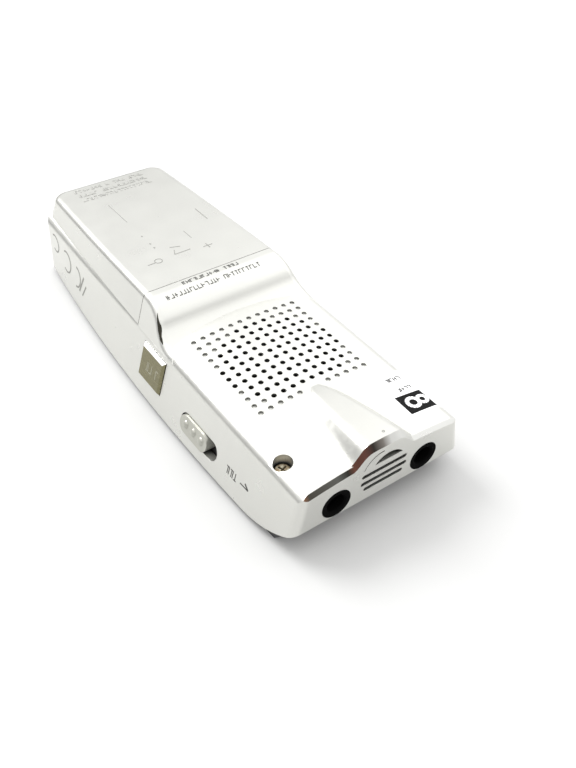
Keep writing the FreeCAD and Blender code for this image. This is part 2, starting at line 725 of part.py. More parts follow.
def battery_plates():
    """The flat positive contact at the near end, and the plate that links both cells at the far end."""
    near = box((cell_x - 4.2, cell_x + 4.2), (bay_y[0] + 0.05, bay_y[0] + 0.4), (6.5, 15.0))
    far = box((-cell_x - 4.2, cell_x + 4.2), (bay_y[1] - 0.4, bay_y[1] - 0.05), (6.5, 15.0))
    return Part.makeCompound([near, far])


def battery_springs():
    """Conical negative springs, each drawn as three rings on a small plate."""
    solids = [box((-cell_x - 4.2, -cell_x + 4.2), (bay_y[0] + 0.05, bay_y[0] + 0.35), (6.5, 15.0))]
    for side, wall_y, out in ((-1, bay_y[0] + 0.35, 1), (1, bay_y[1] - 0.4, -1)):
        for turn, radius in enumerate((3.4, 2.6, 1.8)):
            centre = Vector(side * cell_x, wall_y + out * (0.22 + 0.3 * turn), cell_z)
            solids.append(Part.makeTorus(radius, 0.14, centre, along_y))
    return Part.makeCompound(solids)


# ---- fasteners -----------------------------------------------------------------------------------

def case_screws():
    """Two pan screws with cross recesses at the bottom of their wells."""
    screws = []
    for x, y in screw_places():
        head = cylinder(1.5, 1.0, Vector(x, y, screw_seat_z + 0.02))
        head = head.makeFillet(0.45, [edge for edge in head.Edges if edge.BoundBox.ZMin > screw_seat_z + 0.9])
        for turn in (0, 90):
            slot = box((x - 0.95, x + 0.95), (y - 0.16, y + 0.16), (screw_seat_z + 0.5, screw_seat_z + 2))
            slot.rotate(Vector(x, y, 0), Vector(0, 0, 1), turn + 20)
            head = head.cut(slot)
        shank = cylinder(0.65, screw_seat_z - 2.2, Vector(x, y, 2.3))
        screws.append(head.fuse(shank))
    return Part.makeCompound(screws)


# ---- build ---------------------------------------------------------------------------------------

def build():
    os.makedirs("parts", exist_ok=True)
    simple_nodes = (
        rear_case, front_case, battery_cover, lcd_window, lcd_module, lcd_light_guide, record_lamp, keypad_mat,
        key_domes, main_board, processor_chip, memory_chip, crystal_can, mic_capsule, mic_boot, mic_mesh,
        speaker_frame, speaker_cone, speaker_magnet, speaker_gasket, speaker_felt, speaker_contacts, side_key,
        side_key_switch, hold_slider, hold_carrier, hold_switch, battery_plates, battery_springs, case_screws)
    for make in simple_nodes:
        save(make(), make.__name__)
    for name, x in jack_x.items():
        save(jack_body(x), name)
        save(jack_ring(x), name + "_ring")
    for name, make in front_keys().items():
        save(front_key(make), name)
    for name, (side, y, nub) in cells().items():
        save(cell(side, y, nub), name)


build()
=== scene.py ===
import json
import math
import random

import bmesh
import bpy
from mathutils import Matrix, Vector
from mathutils.bvhtree import BVHTree


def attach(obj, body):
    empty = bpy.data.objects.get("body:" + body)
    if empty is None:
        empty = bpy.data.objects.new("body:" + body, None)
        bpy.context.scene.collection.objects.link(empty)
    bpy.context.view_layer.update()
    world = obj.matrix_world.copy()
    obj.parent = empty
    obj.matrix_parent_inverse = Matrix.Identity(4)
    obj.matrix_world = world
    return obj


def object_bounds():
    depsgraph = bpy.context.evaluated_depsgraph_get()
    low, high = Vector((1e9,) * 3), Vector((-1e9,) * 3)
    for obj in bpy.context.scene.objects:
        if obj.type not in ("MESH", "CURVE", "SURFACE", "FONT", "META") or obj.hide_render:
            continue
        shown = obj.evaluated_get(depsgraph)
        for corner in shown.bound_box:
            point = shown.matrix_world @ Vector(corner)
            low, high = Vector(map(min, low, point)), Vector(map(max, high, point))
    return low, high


# The looks of a handheld voice recorder that lies on its front face, in the frame of the packed
# model: +Z out of the back and -Y the microphone and socket end. Sizes are in millimetres, which
# mm() turns into metres, and names that end in _m are in metres.

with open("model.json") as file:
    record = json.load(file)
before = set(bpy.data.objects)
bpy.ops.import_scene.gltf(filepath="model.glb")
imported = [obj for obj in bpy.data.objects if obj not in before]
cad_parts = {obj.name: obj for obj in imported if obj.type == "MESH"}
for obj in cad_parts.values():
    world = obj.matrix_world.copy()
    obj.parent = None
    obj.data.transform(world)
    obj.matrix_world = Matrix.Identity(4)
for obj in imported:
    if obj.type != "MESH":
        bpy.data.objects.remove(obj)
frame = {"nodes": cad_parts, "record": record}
cad_low, cad_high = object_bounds()
nodes = frame["nodes"]

# ---- driving sizes -----------------------------------------------------------------------------
camera_place = (-66.96, -114.36, 112.30)
camera_target = (0.82, -22.37, 8.0)
camera_roll = 1.68          # degrees
camera_lens = 38.5

room_strength = 1.42
# the room's brightness by height, and what is added to it towards +X
room_levels = ((0.0, 0.10), (0.12, 0.20), (0.32, 0.42), (0.5, 0.68), (0.66, 1.0))
window_levels = ((0.35, 0.0), (0.75, 0.55))
lamp_place = (-150, 330, 430)
lamp_target = (0, 0, 0)
lamp_size_m = 0.3
lamp_power = 2.2            # watts
table_radius_m = 1.2
table_drop = 0.02           # the table top lies this far under the front face

look_from_m = 0.1           # rays that find a surface start this far out
mark_lift = 0.03            # printed marks stand this far off the surface
emboss_lift = 0.08
label_lift = 0.05           # the sticker, the ink on it, and the pattern on that ink
label_ink_lift = 0.08
label_ring_lift = 0.11
fine_lift = 0.02            # marks on the side key and on the display
stroke_width = 0.17
lcd_half = (12.6, 9.4)      # half sizes of the display's picture
lcd_y = -27.8
sleeve_band_y = 34.5        # the cells' band begins here
cover_level = 0.97          # the cover is a little darker than the case

# the bevel over the microphone end: its half width, its depth, where its painted reflection has
# faded out, and the tones of that painted reflection by x
bevel_half = 18.0
bevel_depth = 1.2
bevel_fade = 1.4
bevel_reflection_tones = (
    (-17.8, (0.55, 0.50, 0.46)), (-16.6, (0.30, 0.14, 0.07)), (-15.0, (0.06, 0.055, 0.045)),
    (-9.5, (0.10, 0.10, 0.09)), (-7.4, (0.025, 0.025, 0.02)), (-6.2, (0.11, 0.045, 0.03)),
    (-4.2, (0.14, 0.06, 0.045)), (-2.4, (0.035, 0.03, 0.025)), (-0.4, (0.22, 0.20, 0.18)),
    (1.2, (0.68, 0.68, 0.655)))
# middles of the front keys
front_keys = {
    "key_record": (-9.5, -8.0), "key_stop": (9.5, -8.0), "key_play": (0.0, 12.0), "key_plus": (0.0, 3.0),
    "key_minus": (0.0, 21.0), "key_rewind": (-9.6, 12.0), "key_forward": (9.6, 12.0),
    "key_folder": (-8.0, 32.0), "key_erase": (8.0, 32.0)}


def mm(*values):
    return Vector(values) * 0.001


# ---- material helpers --------------------------------------------------------------------------

class Shader:
    """A principled material, with short calls for the nodes that drive it in object space."""

    def __init__(self, name, color, roughness, **sockets):
        self.material = bpy.data.materials.new(name)
        self.material.use_nodes = True
        self.tree = self.material.node_tree
        self.surface = self.tree.nodes["Principled BSDF"]
        self.place = self.tree.nodes.new("ShaderNodeTexCoord").outputs["Object"]
        self.surface.inputs["Base Color"].default_value = (*color, 1)
        self.surface.inputs["Roughness"].default_value = roughness
        for socket, value in sockets.items():
            label = socket.replace("_", " ").title().replace("Ior", "IOR")
            self.surface.inputs[label].default_value = value
        self.color = color
        self.roughness = roughness

    def new(self, kind, **settings):
        made = self.tree.nodes.new("ShaderNode" + kind)
        for key, value in settings.items():
            setattr(made, key, value)
        return made

    def link(self, output, target):
        self.tree.links.new(output, target)

    def noise(self, size_mm, detail=3.0, stretch=(1, 1, 1)):
        """Noise whose features are about this many millimetres across."""
        mapping = self.new("Mapping")
        mapping.inputs["Scale"].default_value = stretch
        self.link(self.place, mapping.inputs["Vector"])
        texture = self.new("TexNoise")
        texture.inputs["Scale"].default_value = 1000 / size_mm
        texture.inputs["Detail"].default_value = detail
        self.link(mapping.outputs["Vector"], texture.inputs["Vector"])
        return texture.outputs["Fac"]

    def spread(self, value, low, high, start=0.3, stop=0.7):
        """Maps a texture value from start..stop to low..high."""
        node = self.new("MapRange")
        for socket, number in (("From Min", start), ("From Max", stop), ("To Min", low), ("To Max", high)):
            node.inputs[socket].default_value = number
        self.link(value, node.inputs["Value"])
        return node.outputs["Result"]

    def mix(self, factor, a, b):
        """Colour a where the factor is 0 and b where it is 1, each a colour or a node's output."""
        node = self.new("Mix", data_type="RGBA")
        self.link(factor, node.inputs["Factor"])
        for socket, value in (("A", a), ("B", b)):
            target = [s for s in node.inputs if s.name == socket and s.type == "RGBA"][0]
            if isinstance(value, tuple):
                target.default_value = (*value, 1)
            else:
                self.link(value, target)
        return [s for s in node.outputs if s.type == "RGBA"][0]

    def paint(self, color_output):
        self.link(color_output, self.surface.inputs["Base Color"])

    def vary_roughness(self, value, by, start=0.3, stop=0.7):
        low, high = self.roughness - by, self.roughness + by
        self.link(self.spread(value, low, high, start, stop), self.surface.inputs["Roughness"])

    def bump(self, height, depth_mm, strength=1.0, round_mm=0.0):
        """Bumps of this depth, on normals that are rounded over sharp edges by round_mm."""
        node = self.new("Bump")
        node.inputs["Distance"].default_value = depth_mm / 1000
        node.inputs["Strength"].default_value = strength
        self.link(height, node.inputs["Height"])
        if round_mm:
            bevel = self.new("Bevel", samples=4)
            bevel.inputs["Radius"].default_value = round_mm / 1000
            self.link(bevel.outputs["Normal"], node.inputs["Normal"])
        self.link(node.outputs["Normal"], self.surface.inputs["Normal"])

    def grime_and_shade(self, reach_mm, amount, closed=0.35, clear=0.85):
        """1 in the open and darker in narrow gaps, from ambient occlusion: grime together with painted
        shade.
        """
        occlusion = self.new("AmbientOcclusion", samples=6)
        occlusion.inputs["Distance"].default_value = reach_mm / 1000
        return self.spread(occlusion.outputs["AO"], 1 - amount, 1.0, closed, clear)

    def times(self, a, b):
        node = self.new("Math", operation="MULTIPLY")
        self.link(a, node.inputs[0])
        self.link(b, node.inputs[1])
        return node.outputs["Value"]

    def shade(self, base, factor):
        """A colour multiplied by a value."""
        node = self.new("VectorMath", operation="SCALE")
        self.link(base, node.inputs[0])
        self.link(factor, node.inputs["Scale"])
        return node.outputs["Vector"]


def fill_ramp(ramp, stops):
    """Sets a colour ramp from (position, colour) pairs."""
    while len(ramp.elements) < len(stops):
        ramp.elements.new(0.5)
    for element, (position, color) in zip(ramp.elements, stops):
        element.position = position
        element.color = (*color, 1)


def tone(color, by):
    """A colour made lighter or darker."""
    return tuple(min(1.0, channel * by) for channel in color)


def moulded(name, color, roughness, grain_mm=0.25, grain_depth=0.006, shift=0.04, **sockets):
    """Moulded or painted plastic: slow tone changes, a fine surface grain, and grime with painted shade in
    its gaps.
    """
    shader = Shader(name, color, roughness, **sockets)
    clouds = shader.noise(14, 4)
    base = shader.mix(shader.spread(clouds, 0, 1), tone(color, 1 - shift), tone(color, 1 + shift))
    # darker in gaps: grime together with painted shade
    shader.paint(shader.shade(base, shader.grime_and_shade(0.8, 0.25)))
    shader.vary_roughness(shader.noise(3.5, 5), 0.05)
    shader.bump(shader.noise(grain_mm, 2), grain_depth, round_mm=0.12)
    return shader.material


# ---- materials ---------------------------------------------------------------------------------

def silver_paint(name, level=1.0, paints_end_reflection=False):
    """Pale silver paint with fine flake, and with a painted reflection on the end bevel if it has one."""
    color = tone((0.68, 0.68, 0.645), level)
    shader = Shader(name, color, 0.30, metallic=0.8)
    flake = shader.noise(0.3, 1)
    clouds = shader.noise(22, 3)
    base = shader.mix(shader.spread(clouds, 0, 1), tone(color, 0.98), tone(color, 1.02))
    base = shader.mix(shader.spread(flake, 0, 0.2, 0.35, 0.7), base, tone(color, 1.05))
    if paints_end_reflection:
        # the end bevel gets painted reflection tones: gunmetal, copper brown and silver
        base = shader.mix(end_reflection_mask(shader), base, end_bevel_reflection(shader))
    # much darker in gaps, slots and holes: painted shade
    shader.paint(shader.shade(base, shader.grime_and_shade(2.0, 0.95, 0.2, 0.6)))
    shader.vary_roughness(shader.noise(5, 3), 0.03)
    shader.bump(shader.noise(0.6, 1), 0.001, round_mm=0.1)
    return shader.material


def end_reflection_mask(shader):
    """Where the painted reflection goes: 1 on the sloping faces right at the microphone end, 0 elsewhere.
    """
    normal = shader.new("SeparateXYZ")
    coordinates = shader.new("TexCoord")
    shader.link(coordinates.outputs["Normal"], normal.inputs["Vector"])
    place = shader.new("SeparateXYZ")
    shader.link(shader.place, place.inputs["Vector"])
    full_y, faded_y = (cad_low.y + depth * 0.001 for depth in (bevel_depth, bevel_fade))
    near_end = shader.spread(place.outputs["Y"], 1, 0, full_y, faded_y)
    tips_up = shader.spread(normal.outputs["Z"], 0, 1, 0.25, 0.45)
    tips_out = shader.spread(normal.outputs["Y"], 1, 0, -0.45, -0.25)
    return shader.times(shader.times(near_end, tips_up), tips_out)


def end_bevel_reflection(shader):
    """Painted reflection on the end bevel: gunmetal, copper brown at the corner and at the swelling's
    foot, and silver past its crest.
    """
    place = shader.new("SeparateXYZ")
    shader.link(shader.place, place.inputs["Vector"])
    along = shader.spread(place.outputs["X"], 0, 1, -bevel_half * 0.001, bevel_half * 0.001)
    ramp = shader.new("ValToRGB")
    fill_ramp(ramp.color_ramp, [((x / bevel_half + 1) / 2, color) for x, color in bevel_reflection_tones])
    shader.link(along, ramp.inputs["Fac"])
    return ramp.outputs["Color"]


def polished_metal():
    """The side key's satin metal face, brushed along its length, with a painted highlight on its upper
    bevel.
    """
    color = (0.21, 0.195, 0.115)
    shader = Shader("polished_metal", color, 0.24, metallic=0.9)
    strokes = shader.noise(0.35, 4, (1, 0.06, 1))
    face = shader.mix(shader.spread(strokes, 0, 1), tone(color, 0.9), tone(color, 1.08))
    normal = shader.new("SeparateXYZ")
    shader.link(shader.new("TexCoord").outputs["Normal"], normal.inputs["Vector"])
    # the upward faces are painted near-white: a painted highlight
    tips_up = shader.spread(normal.outputs["Z"], 0, 1, 0.45, 0.65)
    shader.paint(shader.mix(tips_up, face, (0.95, 0.95, 0.94)))
    shader.vary_roughness(strokes, 0.06)
    shader.bump(strokes, 0.004, round_mm=0.06)
    return shader.material


def aged_steel(name, color, rust=0.0):
    """Plated steel that is scratched, and stained brown where rust is above 0."""
    shader = Shader(name, color, 0.33, metallic=1.0)
    stains = shader.noise(0.8, 5)
    base = shader.mix(shader.spread(stains, 0, rust, 0.42, 0.6), color, (0.20, 0.12, 0.05))
    # darker in gaps: grime together with painted shade
    shader.paint(shader.shade(base, shader.grime_and_shade(0.4, 0.35)))
    shader.vary_roughness(shader.noise(0.5, 4), 0.14)
    shader.bump(shader.noise(0.2, 4), 0.008, round_mm=0.04)
    return shader.material


def rubber_sheet():
    """Black rubber, dulled by dust."""
    shader = Shader("rubber_sheet", (0.055, 0.055, 0.057), 0.68)
    dust = shader.spread(shader.noise(0.5, 6), 0, 0.5, 0.5, 0.8)
    shader.paint(shader.mix(dust, (0.05, 0.05, 0.052), (0.16, 0.155, 0.145)))
    shader.bump(shader.noise(0.3, 3), 0.01)
    return shader.material


def woven_cloth():
    """Black dust cloth: two crossed sets of threads."""
    shader = Shader("woven_cloth", (0.01, 0.01, 0.01), 0.9, specular_ior_level=0.1)
    threads = []
    for direction in ("X", "Y"):
        wave = shader.new("TexWave", wave_type="BANDS", bands_direction=direction)
        wave.inputs["Scale"].default_value = 1300
        shader.link(shader.place, wave.inputs["Vector"])
        threads.append(wave.outputs["Fac"])
    weave = shader.times(*threads)
    shader.paint(shader.mix(weave, (0.003, 0.003, 0.003), (0.03, 0.03, 0.029)))
    shader.bump(weave, 0.03)
    return shader.material


def circuit_board():
    """Green solder mask over copper traces."""
    shader = Shader("circuit_board", (0.03, 0.17, 0.08), 0.3, coat_weight=0.4)
    cells = shader.new("TexVoronoi", distance="MANHATTAN", feature="DISTANCE_TO_EDGE")
    cells.inputs["Scale"].default_value = 420
    shader.link(shader.place, cells.inputs["Vector"])
    traces = shader.spread(cells.outputs["Distance"], 1, 0, 0.03, 0.06)
    shader.paint(shader.mix(traces, (0.02, 0.13, 0.06), (0.06, 0.30, 0.14)))
    shader.bump(traces, 0.03)
    return shader.material


def cell_sleeve():
    """Printed sleeve of a battery cell: a coloured body with a lighter band towards one end."""
    shader = Shader("cell_sleeve", (0.06, 0.14, 0.32), 0.28, coat_weight=0.5)
    split = shader.new("SeparateXYZ")
    shader.link(shader.place, split.inputs["Vector"])
    band = shader.spread(split.outputs["Y"], 0, 1, sleeve_band_y * 0.001, (sleeve_band_y + 0.4) * 0.001)
    base = shader.mix(band, (0.05, 0.12, 0.30), (0.72, 0.55, 0.18))
    scuffs = shader.spread(shader.noise(1.2, 6), 0, 0.4, 0.56, 0.7)
    shader.paint(shader.mix(scuffs, base, (0.5, 0.5, 0.5)))
    shader.bump(shader.noise(2.5, 2), 0.01)
    return shader.material


def clear_window():
    """Tinted clear plastic with hair scratches."""
    shader = Shader("clear_window", (0.55, 0.57, 0.58), 0.06, transmission_weight=0.85, ior=1.46)
    scratches = shader.noise(0.6, 6, (1, 0.05, 1))
    shader.vary_roughness(scratches, 0.05, 0.55, 0.8)
    shader.bump(shader.noise(4, 2), 0.004)
    return shader.material


def lcd_panel():
    """Grey-green display glass with a faint pixel grid."""
    shader = Shader("lcd_panel", (0.36, 0.40, 0.33), 0.22, coat_weight=0.6)
    grid = shader.new("TexVoronoi", distance="CHEBYCHEV", feature="DISTANCE_TO_EDGE")
    grid.inputs["Scale"].default_value = 3000
    grid.inputs["Randomness"].default_value = 0
    shader.link(shader.place, grid.inputs["Vector"])
    lines = shader.spread(grid.outputs["Distance"], 0.3, 0, 0.02, 0.1)
    shader.paint(shader.mix(lines, (0.38, 0.42, 0.35), (0.28, 0.31, 0.26)))
    shader.bump(lines, 0.004)
    return shader.material


def ink(name, color, roughness=0.55):
    """Printing ink, slightly uneven, with tiny gaps where it has worn off."""
    shader = Shader(name, color, roughness, specular_ior_level=0.1)
    worn = shader.spread(shader.noise(0.12, 3), 0, 0.25, 0.62, 0.8)
    shader.paint(shader.mix(worn, color, tuple(0.5 * c + 0.35 for c in color)))
    shader.bump(shader.noise(0.1, 2), 0.004)
    return shader.material


def paper_label():
    """Glossy white sticker film."""
    shader = Shader("paper_label", (0.9, 0.9, 0.895), 0.32, coat_weight=0.3)
    fibres = shader.spread(shader.noise(0.4, 5), 0, 1)
    shader.paint(shader.mix(fibres, (0.87, 0.87, 0.865), (0.93, 0.93, 0.925)))
    shader.bump(shader.noise(1.5, 4), 0.01)
    return shader.material


def make_materials():
    """Every finish by name, each made once."""
    return {
        "silver_shell": silver_paint("silver_paint"),
        "dark_shell": moulded("dark_shell", (0.045, 0.045, 0.048), 0.42, 0.3, 0.012),
        "window": clear_window(),
        "lcd_glass": lcd_panel(),
        "clear_plastic": moulded("clear_plastic", (0.85, 0.85, 0.82), 0.12,
                                 transmission_weight=0.5),
        "key_metal": polished_metal(),
        "key_plastic": moulded("key_plastic", (0.62, 0.62, 0.61), 0.26, 0.2, 0.003, metallic=0.4),
        "record_red": moulded("record_red", (0.52, 0.045, 0.03), 0.28, 0.2, 0.003,
                              coat_weight=0.3),
        "slider_plastic": moulded("slider_plastic", (0.46, 0.46, 0.41), 0.3, 0.2, 0.004,
                                  metallic=0.5),
        "carrier_plastic": moulded("carrier_plastic", (0.03, 0.03, 0.03), 0.5),
        "rubber": rubber_sheet(),
        "spring_steel": aged_steel("spring_steel", (0.66, 0.65, 0.62)),
        "screw_steel": aged_steel("screw_steel", (0.58, 0.54, 0.42), rust=0.75),
        "board": circuit_board(),
        "chip": moulded("chip", (0.03, 0.03, 0.033), 0.5, 0.12, 0.006),
        "can_steel": aged_steel("can_steel", (0.62, 0.62, 0.61)),
        "jack_plastic": moulded("jack_plastic", (0.003, 0.003, 0.003), 0.7, 0.2, 0.003,
                                specular_ior_level=0.02),
        "mesh_cloth": woven_cloth(),
        "cone_film": moulded("cone_film", (0.07, 0.07, 0.07), 0.4, 0.3, 0.005),
        "magnet_steel": aged_steel("magnet_steel", (0.34, 0.34, 0.33), rust=0.15),
        "cell_wrap": cell_sleeve(),
    }


# ---- marks that follow a surface ---------------------------------------------------------------

class Surface:
    """A node's outside, seen along one direction, for laying thin pieces on it. With section_y it
    has the section at that place all along Y, so that a piece bridges the wells in it."""

    def __init__(self, node, look, section_y=None):
        mesh = nodes[node].data
        corners = [vertex.co for vertex in mesh.vertices]
        self.tree = BVHTree.FromPolygons(corners, [face.vertices for face in mesh.polygons])
        self.look = Vector(look)
        self.start = -look_from_m * self.look
        self.section_y = section_y

    def hit(self, u, v, lift):
        """The point on the surface at (u, v) millimetres across the look direction, lifted off it."""
        across = {"x": (0, u, v), "y": (u, 0, v), "z": (u, v, 0)}
        axis = "xyz"[max(range(3), key=lambda i: abs(self.look[i]))]
        origin = mm(*across[axis])
        wanted_y = origin.y
        if self.section_y is not None:
            origin.y = self.section_y * 0.001
        place, normal, _, _ = self.tree.ray_cast(origin + self.start, self.look)
        if place is None:
            raise ValueError(f"a mark at {u}, {v} misses the surface")
        place.y = wanted_y
        if normal.dot(self.look) > 0:
            normal = -normal
        return place + normal * lift * 0.001


def strip(start, end, width):
    """A dash as a rectangle: four (u, v) corners."""
    a, b = Vector(start), Vector(end)
    side = (b - a).normalized().orthogonal() * width / 2
    return [a - side, b - side, b + side, a + side]


def arc_strips(centre, radius, width, from_deg, to_deg, steps):
    """A curved stroke as a run of short rectangles."""
    u, v = centre
    angles = [math.radians(from_deg + (to_deg - from_deg) * i / steps) for i in range(steps + 1)]
    points = [Vector((u + radius * math.cos(a), v + radius * math.sin(a))) for a in angles]
    return [strip(a, b, width) for a, b in zip(points, points[1:])]


def laid_piece(name, surface, outlines, material, body, lift, skirt=0.05, cell=0.5):
    """Thin plates on a surface from (u, v) quads: grids that follow it, with their rims let in."""
    made = bmesh.new()
    for a, b, c, d in outlines:
        columns = max(1, round(max((b - a).length, (c - d).length) / cell))
        rows = max(1, round(max((d - a).length, (c - b).length) / cell))
        grid = []
        for j in range(rows + 1):
            left, right = a.lerp(d, j / rows), b.lerp(c, j / rows)
            places = [left.lerp(right, i / columns) for i in range(columns + 1)]
            grid.append([made.verts.new(surface.hit(*place, lift)) for place in places])
        for near, far in zip(grid, grid[1:]):
            for i in range(columns):
                made.faces.new((near[i], near[i + 1], far[i + 1], far[i]))
    bmesh.ops.recalc_face_normals(made, faces=made.faces)
    for face in list(made.faces):
        if face.normal.dot(surface.look) > 0:
            face.normal_flip()
    rim = [edge for edge in made.edges if edge.is_boundary]
    lowered = bmesh.ops.extrude_edge_only(made, edges=rim)
    for vertex in lowered["geom"]:
        if isinstance(vertex, bmesh.types.BMVert):
            vertex.co += surface.look * (lift + skirt) * 0.001
    return finished(made, name, material, body)


def finished(made, name, material, body):
    """Turns a bmesh into an object that has a material and rides on a body."""
    mesh = bpy.data.meshes.new(name)
    made.to_mesh(mesh)
    made.free()
    mesh.materials.append(material)
    piece = bpy.data.objects.new(name, mesh)
    bpy.context.scene.collection.objects.link(piece)
    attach(piece, body)
    return piece


def dashes(start_u, end_u, v, height, seed, pitch=0.85, width=stroke_width):
    """A row of short upright and level strokes that stands in for a printed line."""
    source = random.Random(seed)
    row = []
    reach = height / 2
    for step in range(int((end_u - start_u) / pitch)):
        left = start_u + pitch * step
        right = left + 0.68 * pitch
        if source.random() < 0.12:
            continue
        for u in source.sample((left, (left + right) / 2, right), source.choice((1, 1, 2))):
            row.append(strip((u, v - reach), (u, v + reach), width))
        level = v + reach * source.choice((-0.9, 0.0, 0.9))
        row.append(strip((left, level), (right, level), width))
    return row


# ---- marks on the back -------------------------------------------------------------------------

def back_prints(back, materials):
    """Two short grey printed rows between the cover's seam and the ramp."""
    rows = dashes(-6.9, 5.9, 2.3, 0.95, seed=3)
    rows += dashes(-11.6, 10.0, 0.05, 0.95, seed=5)
    laid_piece("back_print_rows", back, rows, materials["grey_ink"], "recorder", mark_lift, cell=1.0)


def cover_marks(cover, materials):
    """Faint raised rows on the battery cover, worn bits of cell outlines, an arrow and signs."""
    rows = []
    for row, y in enumerate((47.7, 45.5, 43.3)):
        rows += dashes(-8.8, 8.4, y, 1.1, seed=20 + row, pitch=0.95, width=0.2)
    raised = laid_piece("cover_raised_rows", cover, rows, materials["silver_shell"],
                        "battery_cover", emboss_lift, cell=1.0)
    worn = [strip((-5.1, 29.3), (-5.1, 38.3), 0.12), strip((9.8, 20.9), (9.8, 26.1), 0.2),
            strip((3.0, 16.0), (3.0, 19.3), 0.12)]
    for y in (22.3, 18.7, 16.9):
        worn.append(strip((-5.2, y - 0.25), (-5.2, y + 0.25), 0.3))
    laid_piece("cover_cell_outlines", cover, worn, materials["pale_ink"],
               "battery_cover", mark_lift, cell=1.0)
    arrow = [strip((-3.0, 12.3), (0.6, 12.3), 0.22), strip((-3.0, 12.3), (-2.3, 13.8), 0.2),
             strip((-2.6, 15.2), (-0.6, 14.4), 0.2)]
    arrow += [strip((3.2, 11.5), (5.3, 11.5), 0.22), strip((4.25, 10.6), (4.25, 12.4), 0.22)]
    arrow.append(strip((-9.4, 11.7), (-7.6, 11.7), 0.22))
    arrow += arc_strips((-6.9, 12.0), 0.8, 0.2, 0, 360, 10)
    laid_piece("cover_arrow_and_signs", cover, arrow, materials["pale_ink"],
               "battery_cover", mark_lift, cell=1.0)


def gate_mark(back, materials):
    """A small ring where the moulding gate was, on the swelling's crest."""
    ring = arc_strips((0.9, -48.6), 0.2, 0.14, 0, 360, 10)
    laid_piece("gate_mark", back, ring, materials["pale_ink"], "recorder", mark_lift)


def ramp_edge_painted_reflection(side, materials):
    """A dark sliver along the left edge of the ramp: a painted reflection of what that rounded edge
    mirrors.
    """
    upper = [Vector(point) for point in ((-1.7, 18.2), (-3.4, 16.5), (-4.6, 14.95), (-5.7, 14.1))]
    lower = [Vector(point) for point in ((-1.9, 17.9), (-3.5, 15.6), (-4.7, 14.4), (-5.75, 13.95))]
    edges = list(zip(lower, upper))
    pieces = [[a, c, d, b] for (a, b), (c, d) in zip(edges, edges[1:])]
    laid_piece("ramp_edge_painted_reflection", side, pieces, materials["edge_reflection_ink"], "recorder", mark_lift)


def side_marks(side, materials):
    """Grey rings and bars near the battery end of the side wall, and an arrow by the hold slider."""
    shapes = arc_strips((44.0, 9.6), 2.0, 0.35, 60, 300, 12)
    shapes += arc_strips((37.5, 8.4), 2.4, 0.4, 60, 300, 14)
    shapes += arc_strips((32.0, 7.8), 2.3, 0.4, 90, 270, 12)
    shapes += [strip((30.0, 5.4), (28.0, 9.6), 0.5), strip((28.3, 5.2), (26.6, 8.2), 0.4)]
    laid_piece("side_ring_marks", side, shapes, materials["pale_ink"], "recorder", mark_lift)
    arrow = dashes(-34.9, -30.4, 5.5, 1.5, seed=9, pitch=1.15)
    arrow += [strip((-38.3, 5.5), (-36.0, 5.5), 0.2), strip((-38.3, 5.5), (-37.2, 6.3), 0.3)]
    laid_piece("hold_arrow_mark", side, arrow, materials["grey_ink"], "recorder", mark_lift)


def corner_label(back, materials):
    """A white sticker by the right corner: rows of dashes and a black block with a pale pattern."""
    left, right, near, far = 9.0, 16.2, -46.9, -35.4
    sheet = [Vector(corner) for corner in ((left, near), (right, near), (right, far), (left, far))]
    laid_piece("corner_label", back, [sheet], materials["paper"], "recorder", label_lift)
    block = [Vector(corner) for corner in ((9.8, -46.1), (15.6, -46.2), (15.5, -41.6), (9.9, -41.4))]
    laid_piece("corner_label_block", back, [block], materials["black_ink"],
               "recorder", label_ink_lift, skirt=0.0)
    ring = arc_strips((12.2, -43.8), 1.15, 0.75, 0, 360, 16)
    ring += arc_strips((14.3, -43.8), 0.9, 0.7, 0, 360, 14)
    laid_piece("corner_label_rings", back, ring, materials["paper"],
               "recorder", label_ring_lift, skirt=-0.04)
    rows = dashes(11.7, 15.5, -37.2, 0.9, seed=11, pitch=0.8)
    rows += dashes(12.0, 15.1, -40.1, 0.8, seed=12, pitch=0.75)
    laid_piece("corner_label_rows", back, rows, materials["black_ink"],
               "recorder", label_ink_lift, skirt=0.0)


def side_key_marks(key_face, materials):
    """A shallow dashed mark on the side key's face."""
    row = dashes(-7.4, -1.6, 8.2, 1.9, seed=15, pitch=1.2, width=0.26)
    laid_piece("side_key_mark", key_face, row, materials["key_shadow"], "side_key", fine_lift)


# ---- marks on the front ------------------------------------------------------------------------

def display_marks(materials):
    """Dark segments on the display: two level bars, a row of digits and a line of small marks."""
    glass = Surface("lcd_module", (0, 0, 1))
    wide, tall = lcd_half
    marks = [strip((-wide, lcd_y + tall - 1.8), (wide, lcd_y + tall - 1.8), 0.25),
             strip((-wide, lcd_y - tall + 2.6), (wide, lcd_y - tall + 2.6), 0.25)]
    for place in (-7.5, -4.0, 1.0, 4.5):
        marks += digit_strokes(place, lcd_y + 0.6, 1.1, 2.2)
    for bottom in (lcd_y - 0.6, lcd_y + 1.2):
        marks.append(strip((-1.5, bottom), (-1.5, bottom + 0.7), 0.6))
    for step in range(9):
        u = -10.0 + 2.2 * step
        marks.append(strip((u, lcd_y - tall + 1.2), (u + 1.3, lcd_y - tall + 1.2), 0.7))
    laid_piece("lcd_segments", glass, marks, materials["black_ink"],
               "recorder", fine_lift, skirt=0.0, cell=3.0)


def digit_strokes(u, v, half_width, half_height):
    """The seven strokes of a display digit, an eight, with small gaps between them."""
    gap = 0.15
    strokes = []
    for level in (-half_height, 0, half_height):
        strokes.append(strip((u - half_width + gap, v + level), (u + half_width - gap, v + level), 0.4))
    for side in (-half_width, half_width):
        strokes.append(strip((u + side, v - half_height + gap), (u + side, v - gap), 0.4))
        strokes.append(strip((u + side, v + gap), (u + side, v + half_height - gap), 0.4))
    return strokes


